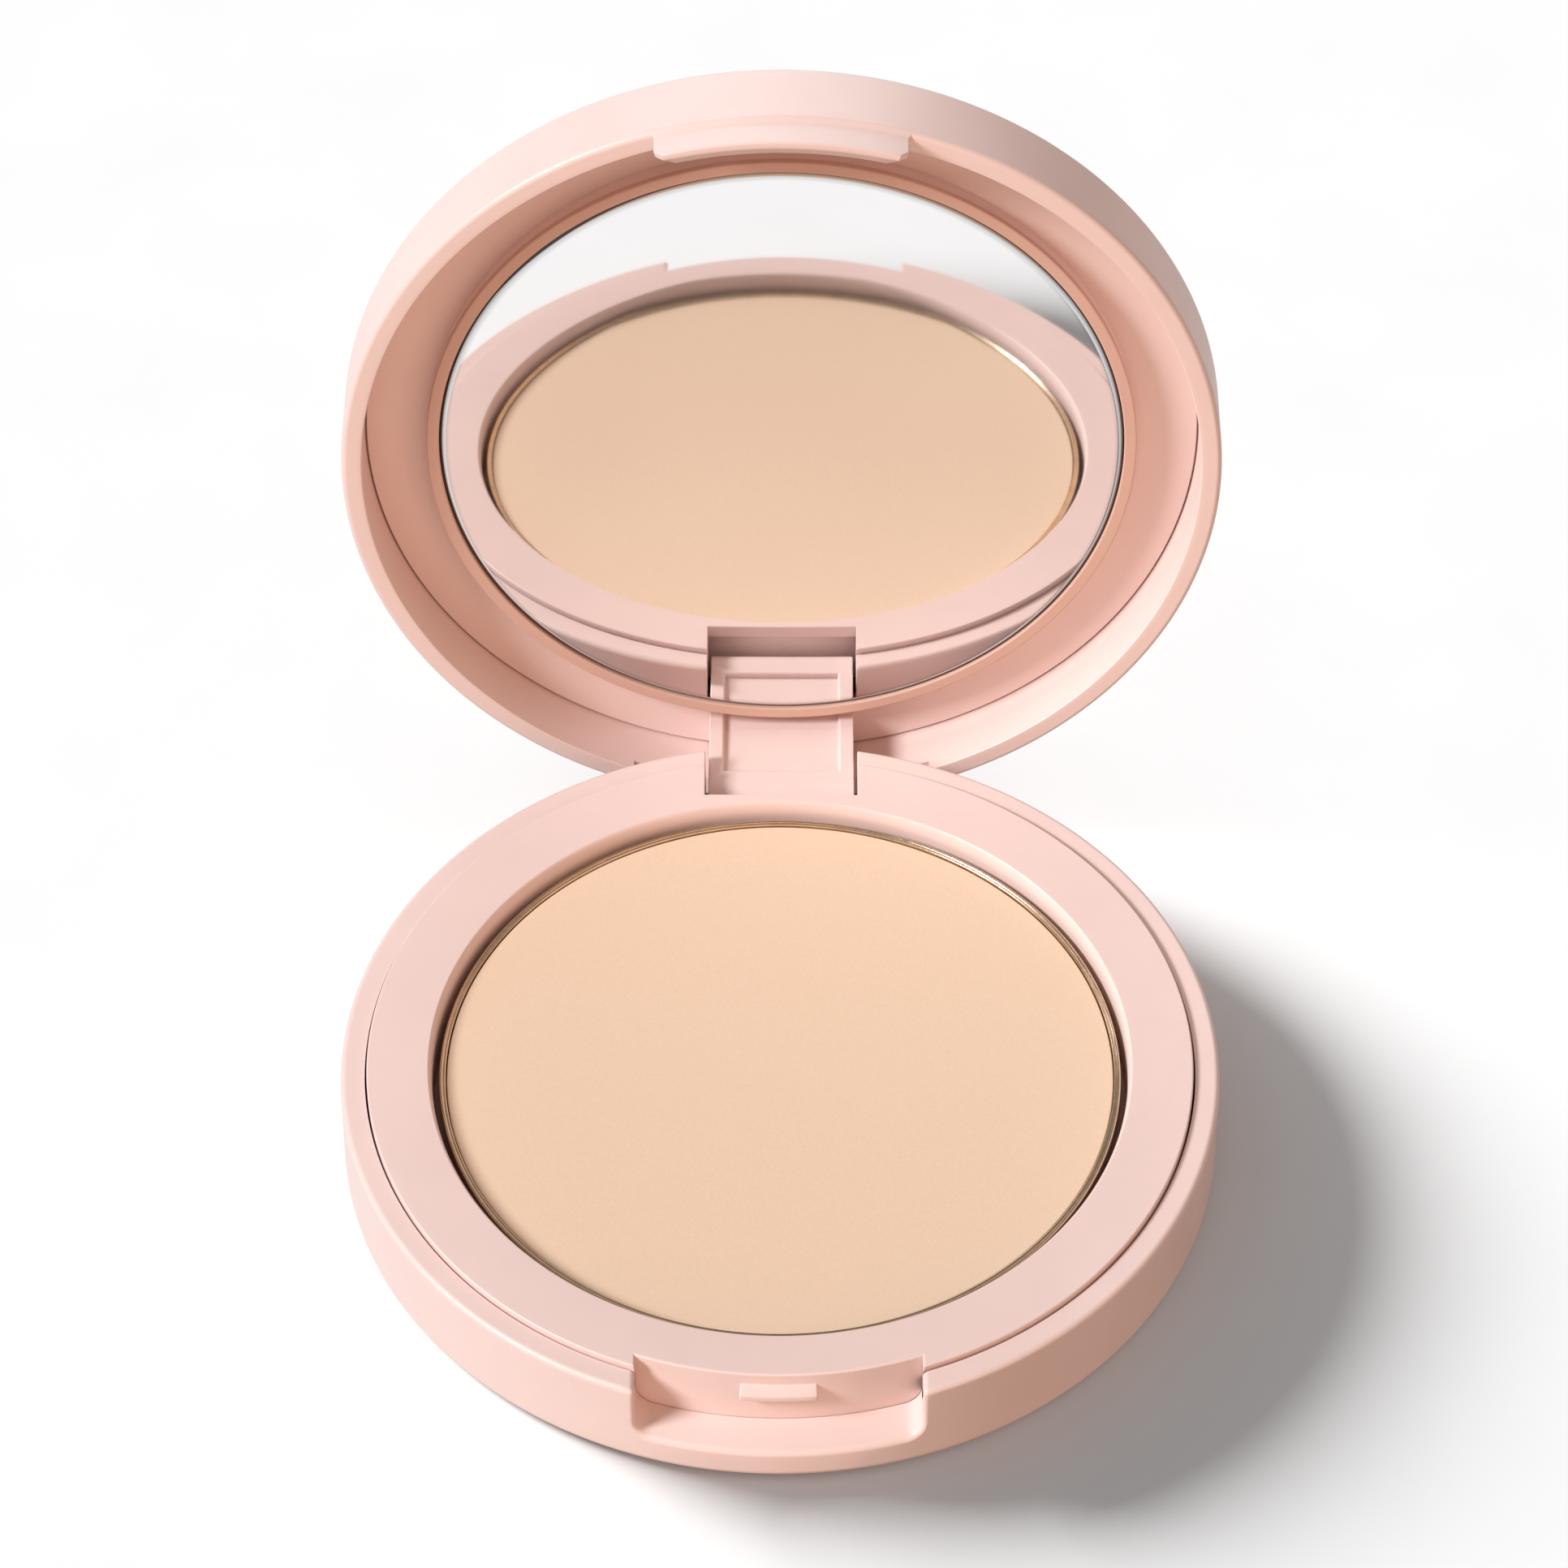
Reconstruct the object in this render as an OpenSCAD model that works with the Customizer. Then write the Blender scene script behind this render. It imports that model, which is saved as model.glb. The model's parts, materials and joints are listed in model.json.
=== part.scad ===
// Round powder compact, lid open at its stop. Millimetres, +Z up, front at -Y, hinge at +Y.
// The origin is the centre of the flat underside. The lid is drawn shut and then turned about the hinge pin.

/* [Base] */
// Outer diameter of the base
outer_d = 76; // [74:0.5:80]
// Height of the flat outer ledge
ledge_z = 9.1; // [8.9:0.1:9.5]
// Thickness of the base's round wall
shell_wall = 2.1; // [1.8:0.1:2.2]
// Thickness of the base's floor
shell_floor = 1.3; // [1:0.1:1.5]
// Rounding of the ledge's outer edge and of the lid's rim
edge_round = 0.5; // [0.3:0.1:0.8]
// Rounding where the wall meets the underside
foot_round = 1; // [0.6:0.1:1.4]

/* [Tray] */
// Height of the raised collar above the ledge
collar_step = 0.55; // [0.4:0.05:0.7]
// Width of the groove between collar and ledge
groove_w = 0.18; // [0.1:0.02:0.3]
// Thickness of the collar
collar_t = 1.2; // [1:0.1:1.3]
// Gap round the pan
pan_gap = 0.6; // [0.4:0.1:0.8]

/* [Pan and powder] */
// Diameter of the pan
pan_d = 59; // [58.6:0.2:59]
// Height of the pan
pan_h = 4; // [3.6:0.1:4.2]
// Thickness of the pan's sheet metal
pan_t = 0.3; // [0.2:0.05:0.4]
// Width of the pan's curled rim
pan_rim_w = 0.6; // [0.5:0.05:0.8]
// How far the rim stands above the powder
powder_drop = 0.2; // [0.1:0.05:0.4]

/* [Thumb notch and catch] */
// Width of the notch between its side walls
notch_w = 24; // [23:0.2:25]
// Depth of the notch from the outer wall inwards
notch_depth = 3.4; // [3:0.1:3.6]
// Height of the notch's floor at the outer wall
notch_floor_z = 3.4; // [3:0.1:3.6]
// Half of the angle that the catch tab takes up
tab_half_angle = 16.4; // [14:0.2:16.8]
// Length of the tab below the lid's rim
tab_drop = 2.9; // [2.7:0.1:3]
// Thickness of the tab
tab_t = 0.9; // [0.8:0.1:1.1]
// Width of the catch nub
nub_w = 6.4; // [5:0.1:8]

/* [Lid] */
// Outer diameter of the lid, which stands a little proud of the base all round
lid_d = 77; // [76.4:0.2:77]
// Thickness of the lid from rim to top
lid_t = 7.6; // [7.3:0.1:7.6]
// Gap between the shut lid's rim and the ledge
rim_gap = 0.15; // [0.1:0.05:0.25]
// Width of the lid's rim
rim_w = 1.8; // [1.7:0.05:1.85]
// Rounding of the lid's top edge
lid_round = 1; // [1:0.1:2]
// Depth of the lid's inner floor below its rim
lid_depth = 5.85; // [5.7:0.05:5.85]
// Thickness of the liner plate
liner_t = 0.7; // [0.6:0.05:0.8]

/* [Mirror] */
// Diameter of the mirror
mirror_d = 60; // [58:0.2:60]
// Thickness of the mirror glass
glass_t = 1.4; // [1:0.1:1.5]
// Width of the ring round the mirror
bezel_w = 1.1; // [0.9:0.1:1.2]
// How far the ring stands above the mirror's face
bezel_rise = 0.1; // [0.05:0.05:0.3]
// Thickness of the ring
bezel_t = 0.6; // [0.5:0.05:0.8]

/* [Hinge] */
// Distance of the hinge pin behind the centre
hinge_y = 34.5; // [34.4:0.05:34.5]
// Height of the hinge pin
hinge_z = 5.1; // [5.1:0.05:5.2]
// Diameter of the hinge pin
pin_d = 1.6; // [1.2:0.1:1.8]
// Angle that the lid opens to
open_angle = 95.5; // [90:0.5:95.5]
// Width of the lid's hinge lug
lug_w = 13.1; // [11:0.1:14]
// Radius of the lug's round end
barrel_r = 2.65; // [2.4:0.05:2.7]

/* [Hidden] */
$fn = 96;
eps = 0.01;
far = 10;

pink = [0.93, 0.77, 0.73];
tan = [0.78, 0.61, 0.53];
champagne = [0.8, 0.7, 0.56];
beige = [0.95, 0.82, 0.69];

outer_r = outer_d / 2;
shell_r = outer_r - shell_wall;

// Tray and pan
collar_z = ledge_z + collar_step;
collar_r = shell_r - groove_w;
collar_under_z = collar_z - collar_t;
pan_r = pan_d / 2;
well_r = pan_r + pan_gap;
bevel_w = 0.4;
bevel_h = 1.3;
well_wall = 1;
rim_sink = 1.45;
pan_top_z = collar_z - rim_sink;
pan_z = pan_top_z - pan_h;
adhesive_t = 0.2;
adhesive_r = 26;
tray_floor_z = pan_z - adhesive_t;
tray_z = tray_floor_z - 1;
curl_h = 0.6;
powder_z = pan_top_z - powder_drop;
powder_r = pan_r - pan_rim_w - 0.05;

// Notch and catch
notch_r = outer_r - notch_depth;
notch_slope = 0.5;
notch_seam = 0.06;
apron_t = 1.2;
apron_z = notch_floor_z;
cheek_half_angle = asin(notch_w / 2 / notch_r) + 2.5;
nub_top_z = collar_z - 1.25;
nub_reach = 1;
nub_h = 1.15;
nub_ramp = 0.4;
nub_half_angle = asin(nub_w / 2 / notch_r);

// Hinge
fit_gap = 0.04;
side_gap = 0.3;
slot_half_w = lug_w / 2 + side_gap;
slot_front_y = hinge_y - 3.24;
barrel_gap = 0.35;
lug_back_y = hinge_y + 1.3;
sill_z = hinge_z - 1.75;
boss_half_w = 12.5;
boss_top_z = collar_under_z - 0.05;
cup_gap = 0.15;
pin_half_l = 13.8;
lug_arm_w = 1.4;
lug_bar_h = 1.45;
lug_pocket_d = 0.5;

// Lid, drawn shut
rim_z = ledge_z + rim_gap;
lid_outer_r = lid_d / 2;
lid_r = lid_outer_r - rim_w;
lid_top_z = rim_z + lid_t;
lid_floor_z = rim_z + lid_depth;
liner_top_z = lid_floor_z + liner_t;
liner_r = lid_r - 0.15;
relief_r = 5.3;
relief_half_w = 13.4;
tab_out_r = outer_r + 0.1;
tab_in_r = tab_out_r - tab_t;
tab_end_z = rim_z - tab_drop;
bead_z = tab_end_z + 0.6;
bead_reach = 0.6;
bead_h = 0.25;
mirror_r = mirror_d / 2;
tape_t = 0.6;
backing_t = 0.1;
tape_r = mirror_r - 1;
tape_z = lid_floor_z - tape_t;
backing_z = tape_z - backing_t;
mirror_z = backing_z - glass_t;
mirror_bevel = 0.5;
bezel_r = mirror_r + 0.1;
bezel_z = mirror_z - bezel_rise;
bezel_round = 0.15;
plinth_z = bezel_z + bezel_t;
plinth_w = bezel_w - 0.15;

// Underside
label_r = 15;
label_t = 0.12;
support_r = 20;
support_t = 1.2;

// Points on an arc or a quarter of an ellipse, from angle a0 to a1
function arc(cx, cz, rx, rz, a0, a1, steps = 6) =
  [for (i = [0:steps]) let (a = a0 + (a1 - a0) * i / steps) [cx + rx * cos(a), cz + rz * sin(a)]];

// A profile turned over an arc that is centred on the front, which is -Y
module front_sector(half_angle) {
  rotate([0, 0, 270 - half_angle])
    rotate_extrude(angle = 2 * half_angle)
      children();
}

// Everything that turns with the lid goes from its shut place to its open one here
module opened() {
  translate([0, hinge_y, hinge_z])
    rotate([-open_angle, 0, 0])
      translate([0, -hinge_y, -hinge_z])
        children();
}

// A cylinder along X about the hinge axis
module hinge_rod(radius, from_x, to_x) {
  translate([from_x, hinge_y, hinge_z])
    rotate([0, 90, 0])
      cylinder(r = radius, h = to_x - from_x);
}

// Everything at the front that lies between the planes of the notch's side walls
module notch_width() {
  translate([-notch_w / 2, -outer_r - far, 0])
    cube([notch_w, outer_r + far, collar_z + 2 * far]);
}

// The space that the thumb notch takes out of wall and collar
module notch_space() {
  intersection() {
    notch_width();
    rotate_extrude()
      polygon([[notch_r, collar_z + far], [notch_r, notch_floor_z + notch_slope],
               [outer_r, notch_floor_z], [outer_r + far, notch_floor_z], [outer_r + far, collar_z + far]]);
  }
}

module shell_cup() {
  rotate_extrude()
    polygon(concat(
      [[0, 0]],
      arc(outer_r - foot_round, foot_round, foot_round, foot_round, -90, 0),
      arc(outer_r - edge_round, ledge_z - edge_round, edge_round, edge_round, 0, 90),
      [[shell_r, ledge_z], [shell_r, shell_floor], [0, shell_floor]]));
}

// The block that holds the notch's floor and the inner ends of its side walls
module notch_box() {
  front_sector(cheek_half_angle)
    translate([notch_r + notch_seam, shell_floor - eps])
      square([shell_r - notch_r - notch_seam + eps, collar_under_z - shell_floor + eps]);
}

// The block that holds both ends of the hinge pin
module hinge_block() {
  intersection() {
    translate([-boss_half_w, 0, shell_floor - eps])
      cube([2 * boss_half_w, outer_r, boss_top_z - shell_floor + eps]);
    rotate_extrude()
      translate([well_r + well_wall + cup_gap, 0])
        square([shell_r + eps - well_r - well_wall - cup_gap, collar_z]);
  }
}

// The slot for the lug, which is open to the rear above its sill
module hinge_slot() {
  trough_z = hinge_z - barrel_r - barrel_gap;
  translate([-slot_half_w, slot_front_y - far, trough_z])
    cube([2 * slot_half_w, shell_r - slot_front_y + far, far]);
  translate([-slot_half_w, slot_front_y, sill_z])
    cube([2 * slot_half_w, far, far]);
  hinge_rod(barrel_r + barrel_gap, -slot_half_w, slot_half_w);
}

module base_shell() {
  color(pink)
    difference() {
      union() {
        shell_cup();
        notch_box();
        hinge_block();
        rotate_extrude()
          translate([support_r, shell_floor - eps])
            square([support_t, tray_z - shell_floor + eps]);
      }
      notch_space();
      intersection() {
        hinge_slot();
        rotate_extrude()
          translate([well_r + well_wall, 0])
            square([far, collar_z]);
      }
      hinge_rod(pin_d / 2, -outer_r, outer_r);
      translate([0, 0, -eps])
        cylinder(r = label_r + 0.1, h = label_t + eps);
    }
}

module tray_body() {
  rotate_extrude()
    polygon(concat(
      [[0, tray_z], [well_r + well_wall, tray_z], [well_r + well_wall, collar_under_z],
       [collar_r, collar_under_z]],
      arc(collar_r - 0.15, collar_z - 0.15, 0.15, 0.15, 0, 90, 3),
      arc(well_r + bevel_w, collar_z - bevel_h, bevel_w, bevel_h, 90, 180),
      [[well_r, tray_floor_z], [0, tray_floor_z]]));
}

// The wall behind the notch, which hangs from the collar and reaches down behind the notch's floor
module tray_apron() {
  front_sector(cheek_half_angle)
    polygon([[notch_r - apron_t, apron_z], [notch_r, apron_z], [notch_r, collar_under_z + eps],
             [notch_r - apron_t, collar_under_z + eps]]);
}

module catch_nub() {
  front_sector(nub_half_angle)
    polygon([[notch_r - eps, nub_top_z - nub_h], [notch_r + nub_reach, nub_top_z - nub_h],
             [notch_r + nub_reach, nub_top_z - nub_ramp], [notch_r - eps, nub_top_z]]);
}

module inner_tray() {
  color(pink) {
    difference() {
      tray_body();
      intersection() {
        notch_width();
        rotate_extrude()
          translate([notch_r, collar_under_z - eps])
            square([far, far]);
      }
      translate([-slot_half_w, slot_front_y, collar_under_z - eps])
        cube([2 * slot_half_w, far, far]);
    }
    tray_apron();
    catch_nub();
  }
}

module powder_pan() {
  color(champagne)
    rotate_extrude()
      polygon(concat(
        [[0, pan_z]],
        arc(pan_r - 0.8, pan_z + 0.8, 0.8, 0.8, -90, 0),
        arc(pan_r - pan_rim_w / 2, pan_top_z - pan_rim_w / 2, pan_rim_w / 2, pan_rim_w / 2, 0, 180, 8),
        [[pan_r - pan_rim_w, pan_top_z - curl_h], [pan_r - pan_t, pan_top_z - curl_h - 0.2]],
        arc(pan_r - 0.8, pan_z + 0.8, 0.8 - pan_t, 0.8 - pan_t, 0, -90),
        [[0, pan_z + pan_t]]));
}

module powder_cake() {
  color(beige)
    rotate_extrude()
      polygon([[0, pan_z + pan_t], [pan_r - 1, pan_z + pan_t], [powder_r, pan_z + 1],
               [powder_r, powder_z - 0.1], [powder_r - 0.1, powder_z], [0, powder_z]]);
}

module pan_adhesive() {
  color("white")
    translate([0, 0, tray_floor_z])
      cylinder(r = adhesive_r, h = adhesive_t);
}

module bottom_label() {
  color("whitesmoke")
    cylinder(r = label_r, h = label_t);
}

module hinge_pin() {
  color("silver")
    hinge_rod(pin_d / 2, -pin_half_l, pin_half_l);
}

module lid_cap() {
  rotate_extrude()
    polygon(concat(
      [[lid_r, rim_z]],
      arc(lid_outer_r - edge_round, rim_z + edge_round, edge_round, edge_round, -90, 0),
      arc(lid_outer_r - lid_round, lid_top_z - lid_round, lid_round, lid_round, 0, 90),
      [[0, lid_top_z], [0, liner_top_z], [lid_r, liner_top_z]]));
}

// The tab that snaps over the nub, with a sloping end and a bead on its inner face
module catch_tab() {
  front_sector(tab_half_angle)
    polygon([[tab_in_r, rim_z + edge_round], [tab_in_r, bead_z + bead_h + 0.7],
             [tab_in_r - bead_reach, bead_z + bead_h], [tab_in_r - bead_reach, bead_z],
             [tab_out_r - 0.65, tab_end_z], [tab_out_r - 0.2, tab_end_z], [tab_out_r, tab_end_z + 0.2],
             [tab_out_r, rim_z + edge_round]]);
}

module lid_shell() {
  color(pink)
    opened() {
      difference() {
        lid_cap();
        hinge_rod(relief_r, -relief_half_w, relief_half_w);
      }
      catch_tab();
    }
}

// Two arms and a bar round the pin, with a shallow pocket between the arms
module hinge_lug() {
  difference() {
    union() {
      hinge_rod(barrel_r, -lug_w / 2, lug_w / 2);
      translate([-lug_w / 2, hinge_y - barrel_r, hinge_z])
        cube([lug_w, lug_back_y - hinge_y + barrel_r, lid_floor_z - hinge_z + eps]);
    }
    translate([-lug_w / 2 + lug_arm_w, hinge_y - barrel_r - eps, hinge_z + lug_bar_h])
      cube([lug_w - 2 * lug_arm_w, lug_pocket_d + eps, lid_floor_z - hinge_z - lug_bar_h]);
    hinge_rod(pin_d / 2 + fit_gap, -lug_w, lug_w);
  }
}

// The liner plate, with a low wall round the mirror that carries the ring
module lid_liner() {
  color(pink)
    opened() {
      translate([0, 0, lid_floor_z])
        cylinder(r = liner_r, h = liner_t);
      rotate_extrude()
        translate([bezel_r, plinth_z])
          square([plinth_w, lid_floor_z - plinth_z + eps]);
      hinge_lug();
    }
}

module mirror_bezel() {
  color(tan)
    opened()
      rotate_extrude()
        polygon(concat(
          [[bezel_r, plinth_z]],
          arc(bezel_r + bezel_round, bezel_z + bezel_round, bezel_round, bezel_round, 180, 270, 4),
          arc(bezel_r + bezel_w - bezel_round, bezel_z + bezel_round, bezel_round, bezel_round, -90, 0, 4),
          [[bezel_r + bezel_w, plinth_z]]));
}

module mirror_glass() {
  color("whitesmoke")
    opened()
      rotate_extrude()
        polygon([[0, mirror_z], [mirror_r - mirror_bevel, mirror_z], [mirror_r, mirror_z + mirror_bevel / 2],
                 [mirror_r, backing_z], [0, backing_z]]);
}

module mirror_backing() {
  color("lightgray")
    opened()
      translate([0, 0, backing_z])
        cylinder(r = mirror_r - 0.2, h = backing_t);
}

module mirror_tape() {
  color("white")
    opened()
      translate([0, 0, tape_z])
        cylinder(r = tape_r, h = tape_t);
}

base_shell();
inner_tray();
powder_pan();
powder_cake();
pan_adhesive();
bottom_label();
hinge_pin();
lid_shell();
lid_liner();
mirror_bezel();
mirror_glass();
mirror_backing();
mirror_tape();
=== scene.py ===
"""Blush-pink powder compact, lid open at its stop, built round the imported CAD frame."""

import json
import math

import bmesh
import bpy
from mathutils import Matrix, Vector


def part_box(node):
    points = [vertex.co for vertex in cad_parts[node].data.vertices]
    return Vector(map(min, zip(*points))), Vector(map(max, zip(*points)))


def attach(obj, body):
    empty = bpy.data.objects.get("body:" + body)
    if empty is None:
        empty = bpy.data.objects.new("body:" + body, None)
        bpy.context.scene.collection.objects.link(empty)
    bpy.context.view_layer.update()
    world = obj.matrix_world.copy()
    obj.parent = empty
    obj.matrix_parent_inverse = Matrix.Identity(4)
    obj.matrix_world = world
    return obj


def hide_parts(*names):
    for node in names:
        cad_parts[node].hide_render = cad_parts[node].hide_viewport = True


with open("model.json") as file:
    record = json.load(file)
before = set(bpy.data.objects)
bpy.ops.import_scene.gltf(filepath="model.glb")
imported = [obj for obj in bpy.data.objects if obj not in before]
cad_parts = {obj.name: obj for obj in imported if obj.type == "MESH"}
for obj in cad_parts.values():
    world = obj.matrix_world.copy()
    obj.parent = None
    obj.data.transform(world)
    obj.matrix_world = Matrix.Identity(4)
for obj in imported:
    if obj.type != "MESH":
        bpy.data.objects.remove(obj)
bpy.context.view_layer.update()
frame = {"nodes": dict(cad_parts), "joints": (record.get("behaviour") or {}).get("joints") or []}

# ---------------------------------------------------------------- sizes, in millimetres

MM = 0.001


def box_mm(node):
    """Lowest and highest corner of a CAD node, in millimetres."""
    low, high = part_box(node)
    return low / MM, high / MM


OUTER_R = box_mm("base_shell")[1].x
LEDGE_Z = box_mm("base_shell")[1].z
COLLAR_R = box_mm("inner_tray")[1].x
COLLAR_Z = box_mm("inner_tray")[1].z
TRAY_Z = box_mm("inner_tray")[0].z
PAN_R = box_mm("powder_pan")[1].x
PAN_Z = box_mm("powder_pan")[0].z
PAN_TOP_Z = box_mm("powder_pan")[1].z
POWDER_R = PAN_R - 0.65
POWDER_Z = box_mm("powder_cake")[1].z
PIN_R = (box_mm("hinge_pin")[1].z - box_mm("hinge_pin")[0].z) / 2
PIN_HALF_L = box_mm("hinge_pin")[1].x

HINGE = next(j for j in frame["joints"] if j["name"] == "lid_hinge")
HINGE_Y = HINGE["pos_m"][1] / MM
HINGE_Z = HINGE["pos_m"][2] / MM
OPEN_ANGLE = math.radians(HINGE["range_deg"][1])

# Base shell and tray
SHELL_R = 35.9
SHELL_FLOOR = 1.3
EDGE_ROUND = 0.5
FOOT_ROUND = 1.0
LABEL_R = 15.0
LABEL_T = 0.12
COLLAR_UNDER_Z = COLLAR_Z - 1.2
WELL_R = PAN_R + 0.6
WELL_OUT_R = WELL_R + 1.0
WELL_FLOOR_Z = TRAY_Z + 1.0
BEVEL_W = 0.4
BEVEL_H = 1.3

# Thumb notch: its side walls are parallel and its lower corners are round
NOTCH_HALF_W = 12.0
NOTCH_R = OUTER_R - 3.4
NOTCH_SEAM = 0.06
NOTCH_FLOOR_Z = 3.4
NOTCH_SLOPE = 0.5
NOTCH_CORNER = 1.5
NOTCH_EDGE = 0.5
CHEEK_ANGLE = math.degrees(math.asin(NOTCH_HALF_W / NOTCH_R)) + 2.5
APRON_T = 1.2
NUB_HALF_W = 3.2
NUB_TOP_Z = COLLAR_Z - 1.25
NUB_H = 1.15
NUB_REACH = 1.0
NUB_RAMP = 0.4
NUB_EDGE = 0.17

# Hinge slot and lug
SLOT_HALF_W = 6.85
SLOT_FRONT_Y = HINGE_Y - 3.24
SILL_Z = HINGE_Z - 1.75
LUG_HALF_W = 6.55
LUG_ARM_W = 1.4
LUG_BAR_H = 1.45
LUG_POCKET = 0.5
POCKET_EDGE = 0.28
BARREL_R = 2.65
LUG_BACK_Y = HINGE_Y + 1.3
BOSS_HALF_W = 12.5

# Lid, drawn shut and then turned open about the hinge
LID_OUT_R = box_mm("lid_shell")[1].x
RIM_Z = LEDGE_Z + 0.15
LID_R = LID_OUT_R - 1.8
LID_TOP_Z = RIM_Z + 7.6
LID_ROUND = 1.0
LID_FLOOR_Z = RIM_Z + 5.85
LINER_TOP_Z = LID_FLOOR_Z + 0.7
LINER_R = LID_R - 0.15
RELIEF_R = 5.3
RELIEF_HALF_W = 13.4
TAB_ANGLE = 16.4
TAB_OUT_R = OUTER_R + 0.1
TAB_IN_R = TAB_OUT_R - 0.9
TAB_END_T = 0.65
TAB_END_Z = RIM_Z - 2.9
TAB_CUT = 0.8
TAB_EDGE = 0.16
BEAD_Z = TAB_END_Z + 0.6
BEAD_H = 0.25
BEAD_REACH = 0.6
MIRROR_R = 30.0
BACKING_Z = LID_FLOOR_Z - 0.7
MIRROR_Z = BACKING_Z - 1.4
MIRROR_BEVEL = 0.5
BEZEL_R = MIRROR_R + 0.1
BEZEL_W = 1.1
BEZEL_Z = MIRROR_Z - 0.1
BEZEL_ROUND = 0.15
PLINTH_Z = BEZEL_Z + 0.6
PLINTH_W = BEZEL_W - 0.15

OPENED = (
    Matrix.Translation((0, HINGE_Y, HINGE_Z))
    @ Matrix.Rotation(-OPEN_ANGLE, 4, "X")
    @ Matrix.Translation((0, -HINGE_Y, -HINGE_Z))
)

# ---------------------------------------------------------------- mesh helpers


def arc(cr, cz, rr, rz, start, end, steps):
    """Points on an ellipse's arc in the (radius, height) plane; angles in degrees."""
    angles = [math.radians(start + (end - start) * i / steps) for i in range(steps + 1)]
    return [(cr + rr * math.cos(a), cz + rz * math.sin(a)) for a in angles]


def keyed(prefix, points):
    """A named stretch of an outline: (key, radius, height)."""
    return [(f"{prefix}{i}", r, z) for i, (r, z) in enumerate(points)]


class Solid:
    """Collects shared points, faces and rounded edges of one closed solid."""

    def __init__(self):
        self.points = []
        self.index = {}
        self.faces = []
        self.rounds = {}

    def point(self, x, y, z):
        key = (round(x, 5), round(y, 5), round(z, 5))
        if key not in self.index:
            self.index[key] = len(self.points)
            self.points.append((x, y, z))
        return self.index[key]

    def face(self, corners):
        kept = [c for i, c in enumerate(corners) if c != corners[i - 1]]
        if len(set(kept)) > 2 and len(set(kept)) == len(kept):
            self.faces.append(kept)

    def strip(self, one, two):
        """Joins two columns of keyed points; a point that only one column has makes a larger face."""
        keys_two = [k for k, _ in two]
        common = [k for k, _ in one if k in keys_two]
        keys_one = [k for k, _ in one]
        for low, high in zip(common, common[1:]):
            a = one[keys_one.index(low): keys_one.index(high) + 1]
            b = two[keys_two.index(low): keys_two.index(high) + 1]
            self.face([i for _, i in a] + [i for _, i in reversed(b)])

    def cap(self, columns_keys):
        self.face([i for column, keys in columns_keys for k in keys for kk, i in column if kk == k])

    def round_edges(self, column, keys, width):
        """Marks the edges between the named points of one column for rounding."""
        found = [dict(column)[k] for k in keys]
        for a, b in zip(found, found[1:]):
            self.rounds[frozenset((a, b))] = width

    def round_across(self, columns, key, width):
        found = [dict(column)[key] for column in columns]
        for a, b in zip(found, found[1:]):
            self.rounds[frozenset((a, b))] = width

    def mesh(self, name, mirror_x=False, matrix=None):
        """The finished bmesh, in metres."""
        bm = bmesh.new()
        weight = bm.edges.layers.float.new("bevel_weight_edge")
        signs = (1, -1) if mirror_x else (1,)
        widest = max(self.rounds.values(), default=1)
        for sign in signs:
            verts = [bm.verts.new((sign * x, y, z)) for x, y, z in self.points]
            for corners in self.faces:
                bm.faces.new([verts[c] for c in corners])
            for pair, width in self.rounds.items():
                edge = bm.edges.get([verts[i] for i in pair])
                if edge is not None:
                    edge[weight] = width / widest
        bmesh.ops.remove_doubles(bm, verts=bm.verts, dist=1e-4)
        bmesh.ops.delete(bm, geom=[v for v in bm.verts if not v.link_faces], context="VERTS")
        bmesh.ops.recalc_face_normals(bm, faces=bm.faces)
        bmesh.ops.transform(bm, matrix=Matrix.Scale(MM, 4) @ (matrix or Matrix()), verts=bm.verts)
        mesh = bpy.data.meshes.new(name)
        bm.to_mesh(mesh)
        bm.free()
        piece = bpy.data.objects.new(name, mesh)
        bpy.context.scene.collection.objects.link(piece)
        if self.rounds:
            bevel(piece, widest)
        return piece


def apply_modifiers(piece):
    depsgraph = bpy.context.evaluated_depsgraph_get()
    done = bpy.data.meshes.new_from_object(piece.evaluated_get(depsgraph), depsgraph=depsgraph)
    piece.modifiers.clear()
    old = piece.data
    piece.data = done
    bpy.data.meshes.remove(old)
    done.name = piece.name


def bevel(piece, width, segments=5):
    rounding = piece.modifiers.new("rounding", "BEVEL")
    rounding.limit_method = "WEIGHT"
    rounding.offset_type = "OFFSET"
    rounding.width = width * MM
    rounding.segments = segments
    rounding.use_clamp_overlap = False
    rounding.loop_slide = True
    apply_modifiers(piece)


def boolean(piece, tool, operation):
    """Adds or takes away another solid and removes it."""
    change = piece.modifiers.new("change", "BOOLEAN")
    change.operation = operation
    change.solver = "EXACT"
    change.use_self = True
    change.object = tool
    apply_modifiers(piece)
    bpy.data.objects.remove(tool)


def shade(piece, sharp_degrees=32):
    """Smooth shading with flat faces kept flat."""
    mesh = piece.data
    for polygon in mesh.polygons:
        polygon.use_smooth = True
    mesh.set_sharp_from_angle(angle=math.radians(sharp_degrees))
    weighted = piece.modifiers.new("normals", "WEIGHTED_NORMAL")
    weighted.mode = "FACE_AREA"
    weighted.keep_sharp = True
    apply_modifiers(piece)


def polar(radius, degrees):
    """A place at an angle from the front, which is -Y, towards +X."""
    a = math.radians(degrees)
    return radius * math.sin(a), -radius * math.cos(a)


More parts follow.
